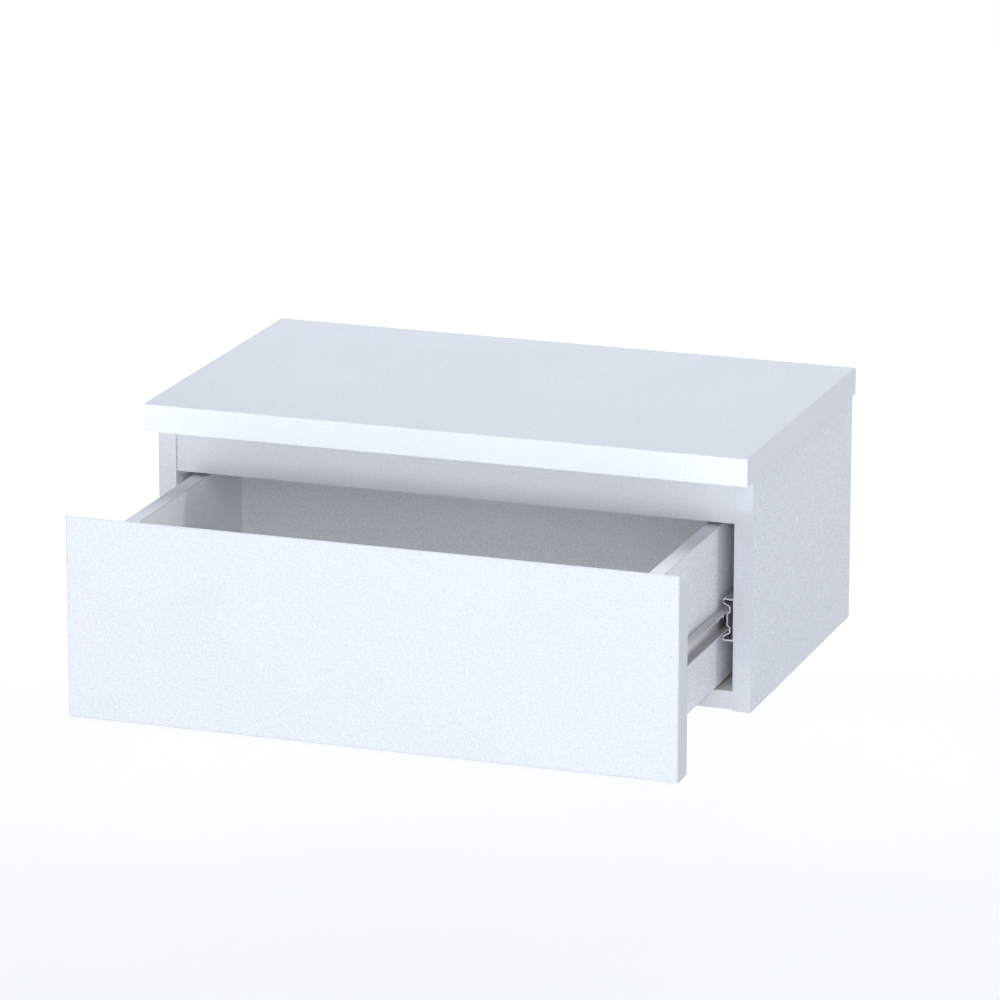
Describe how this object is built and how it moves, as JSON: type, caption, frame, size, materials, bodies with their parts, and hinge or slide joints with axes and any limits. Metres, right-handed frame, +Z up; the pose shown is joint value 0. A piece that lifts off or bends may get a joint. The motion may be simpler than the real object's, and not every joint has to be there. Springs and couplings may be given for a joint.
{
  "type": "wall-hung bathroom vanity cabinet",
  "caption": "Wall-hung vanity cabinet with an overhanging flat top and one deep handleless drawer, standing open on telescopic ball-bearing side slides.",
  "frame": {"origin": "centre of the four wall-fixing holes, on the wall plane behind the cabinet", "axes": "+Y into the wall, +Z up, +X to the right of someone who faces the drawer front"},
  "size_m": [0.5, 0.4611, 0.211],
  "materials": {
    "white_board": "satin white melamine on 15 mm and 22 mm board",
    "white_front_board": "satin white melamine on 22 mm board",
    "white_drawer_board": "satin white melamine on 12 mm board",
    "white_edge_band": "satin white edge band",
    "white_hardboard": "white laminated 3 mm hardboard",
    "zinc_fitting": "die-cast zinc",
    "beech_dowel": "plain beech",
    "slide_steel": "bright zinc-plated rolled steel",
    "cage_steel": "pressed steel strip",
    "ball_steel": "polished steel balls",
    "black_stop": "black moulded stop",
    "screw_steel": "zinc-plated screw steel",
    "clear_bumper": "clear soft bumper"
  },
  "bodies": {
    "carcass": {"top_panel": "white_board", "left_side_panel": "white_board", "right_side_panel": "white_board", "bottom_panel": "white_board", "front_rail": "white_board", "hanging_rail": "white_board", "lower_back_rail": "white_board", "top_edge_band": "white_edge_band", "side_edge_bands": "white_edge_band", "bottom_edge_band": "white_edge_band", "front_rail_edge_band": "white_edge_band", "back_panel": "white_hardboard", "cam_housings": "zinc_fitting", "cam_bolts": "zinc_fitting", "carcass_dowels": "beech_dowel", "left_slide_outer": "slide_steel", "right_slide_outer": "slide_steel", "slide_rear_stops": "black_stop", "slide_carcass_screws": "screw_steel"},
    "drawer": {"drawer_front": "white_front_board", "drawer_front_edge_band": "white_edge_band", "drawer_left_side": "white_drawer_board", "drawer_right_side": "white_drawer_board", "drawer_sub_front": "white_drawer_board", "drawer_back": "white_drawer_board", "drawer_floor": "white_hardboard", "drawer_box_edge_bands": "white_edge_band", "drawer_dowels": "beech_dowel", "drawer_front_screws": "screw_steel", "front_bumpers": "clear_bumper", "left_slide_inner": "slide_steel", "right_slide_inner": "slide_steel", "slide_drawer_screws": "screw_steel"},
    "left_middle_member": {"left_slide_middle": "slide_steel"},
    "left_outer_cage": {"left_outer_ball_cage": "cage_steel", "left_outer_balls": "ball_steel"},
    "left_inner_cage": {"left_inner_ball_cage": "cage_steel", "left_inner_balls": "ball_steel"},
    "right_middle_member": {"right_slide_middle": "slide_steel"},
    "right_outer_cage": {"right_outer_ball_cage": "cage_steel", "right_outer_balls": "ball_steel"},
    "right_inner_cage": {"right_inner_ball_cage": "cage_steel", "right_inner_balls": "ball_steel"}
  },
  "joints": [
    {"name": "left_middle_slide", "type": "slide", "parent": "carcass", "child": "left_middle_member", "axis": [0, -1, 0], "range_m": [0, 0.088]},
    {"name": "drawer_slide", "type": "slide", "parent": "left_middle_member", "child": "drawer", "axis": [0, -1, 0], "range_m": [-0.162, 0]},
    {"name": "right_middle_slide", "type": "slide", "parent": "carcass", "child": "right_middle_member", "axis": [0, -1, 0], "range_m": [0, 0.088]},
    {"name": "left_outer_cage_roll", "type": "slide", "parent": "carcass", "child": "left_outer_cage", "axis": [0, -1, 0], "range_m": [0, 0.044]},
    {"name": "right_outer_cage_roll", "type": "slide", "parent": "carcass", "child": "right_outer_cage", "axis": [0, -1, 0], "range_m": [0, 0.044]},
    {"name": "left_inner_cage_roll", "type": "slide", "parent": "left_middle_member", "child": "left_inner_cage", "axis": [0, -1, 0], "range_m": [-0.081, 0]},
    {"name": "right_inner_cage_roll", "type": "slide", "parent": "right_middle_member", "child": "right_inner_cage", "axis": [0, -1, 0], "range_m": [-0.081, 0]}
  ],
  "couplings": [
    {"joint": "right_middle_slide", "follows": "left_middle_slide", "ratio": 1},
    {"joint": "left_outer_cage_roll", "follows": "left_middle_slide", "ratio": 0.5},
    {"joint": "right_outer_cage_roll", "follows": "left_middle_slide", "ratio": 0.5},
    {"joint": "left_inner_cage_roll", "follows": "drawer_slide", "ratio": 0.5},
    {"joint": "right_inner_cage_roll", "follows": "drawer_slide", "ratio": 0.5}
  ]
}
